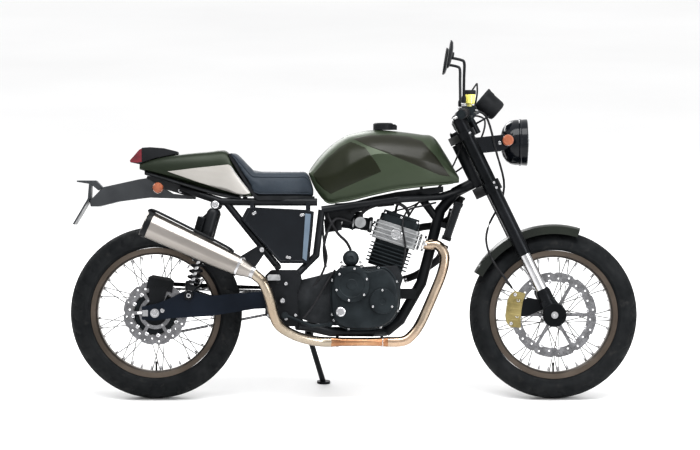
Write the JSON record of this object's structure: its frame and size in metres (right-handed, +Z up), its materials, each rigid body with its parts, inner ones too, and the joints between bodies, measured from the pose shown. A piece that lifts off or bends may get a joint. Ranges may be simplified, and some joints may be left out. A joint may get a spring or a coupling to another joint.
{
  "type": "cafe racer motorcycle",
  "caption": "Naked cafe racer motorcycle with spoked wheels, a sculpted tank, a humped seat, twin rear shocks and a high silencer, leaning on its side stand.",
  "frame": {"origin": "on the ground, at the centre of the parked machine's outline", "axes": "+X forward, +Y to the rider's left, +Z up; the machine leans to +Y on its side stand"},
  "size_m": [2.0269, 0.7934, 1.3054],
  "materials": {
    "tyre_rubber": "matte black tread rubber",
    "bronze_rim": "satin bronze anodised rim",
    "spoke_steel": "bright steel spokes",
    "black_hub": "satin black cast hub",
    "disc_steel": "ground stainless brake disc",
    "sprocket_steel": "machined sprocket steel",
    "black_anodised": "satin black anodised fork parts",
    "dark_casting": "dark cast aluminium",
    "bright_axle": "machined steel",
    "green_paint": "satin olive green paint",
    "green_body": "satin olive green paint on plastic",
    "gold_caliper": "gold anodised caliper",
    "black_caliper": "black anodised caliper",
    "hose_rubber": "black braided hose cover",
    "black_steel": "satin black powder coat",
    "blue_black_steel": "dark blue-black powder coat",
    "black_plastic": "moulded black plastic",
    "fluid_yellow": "translucent yellow fluid pot",
    "amber_lens": "amber indicator lens",
    "red_lens": "red lens in a black housing",
    "header_steel": "heat tinted stainless pipe",
    "silencer_steel": "satin stainless silencer",
    "seat_cover": "slate seat cover",
    "side_gloss": "gloss black side panels",
    "peg_metal": "cast foot pegs and levers",
    "chain_steel": "oiled chain steel"
  },
  "bodies": {
    "chassis": {"frame": "black_steel", "cross_tubes": "black_steel", "stand_bracket": "black_steel", "subframe": "black_steel", "swingarm": "blue_black_steel", "rear_axle": "bright_axle", "shock_absorbers": "black_steel", "crankcase": "dark_casting", "cylinder": "dark_casting", "engine_covers": "dark_casting", "throttle_body": "dark_casting", "radiator": "black_plastic", "exhaust_pipe": "header_steel", "collector": "header_steel", "tail_pipe": "header_steel", "silencer": "silencer_steel", "fuel_tank": "green_paint", "filler_neck": "black_plastic", "seat": "seat_cover", "tail_cowl": "green_body", "tail_light": "red_lens", "rear_mudguard": "black_plastic", "rear_indicators": "amber_lens", "side_panels": "side_gloss", "footpegs": "peg_metal", "foot_levers": "peg_metal", "chain": "chain_steel", "chain_guard": "black_plastic", "rear_caliper": "black_caliper"},
    "front_wheel": {"front_tyre": "tyre_rubber", "front_rim": "bronze_rim", "front_spokes": "spoke_steel", "front_hub": "black_hub", "front_disc": "disc_steel"},
    "rear_wheel": {"rear_tyre": "tyre_rubber", "rear_rim": "bronze_rim", "rear_spokes": "spoke_steel", "rear_hub": "black_hub", "rear_disc": "disc_steel", "rear_sprocket": "sprocket_steel"},
    "steering": {"yokes": "black_anodised", "fork_tubes": "black_anodised", "fork_sliders": "dark_casting", "front_axle": "bright_axle", "front_mudguard": "green_body", "front_caliper": "gold_caliper", "front_brake_hose": "hose_rubber", "headlight": "black_steel", "instrument": "black_plastic", "handlebar": "black_steel", "grips": "hose_rubber", "hand_levers": "black_plastic", "brake_reservoir": "fluid_yellow", "mirrors": "black_steel", "front_indicators": "amber_lens"},
    "side_stand": {"side_stand": "black_steel"},
    "fuel_cap": {"fuel_cap": "black_plastic"}
  },
  "joints": [
    {"name": "steering_turn", "type": "hinge", "parent": "chassis", "child": "steering", "pos_m": [0.41902, -0.03551, 0.81353], "axis": [-0.4384, 0.1483, 0.8865], "range_deg": [-30, 30]},
    {"name": "front_wheel_spin", "type": "hinge", "parent": "steering", "child": "front_wheel", "pos_m": [0.7135, -0.12199, 0.29678], "axis": [0, 0.9863, -0.165], "continuous": true},
    {"name": "rear_wheel_spin", "type": "hinge", "parent": "chassis", "child": "rear_wheel", "pos_m": [-0.7065, -0.12083, 0.30368], "axis": [0, 0.9863, -0.165], "continuous": true},
    {"name": "side_stand_fold", "type": "hinge", "parent": "chassis", "child": "side_stand", "pos_m": [-0.1615, -0.01256, 0.19938], "axis": [0.0343, 0.8626, 0.5048], "range_deg": [0, 100]},
    {"name": "fuel_cap_lid", "type": "hinge", "parent": "chassis", "child": "fuel_cap", "pos_m": [0.1495, -0.01096, 0.96025], "axis": [0, 0.9863, -0.165], "range_deg": [0, 95]}
  ]
}
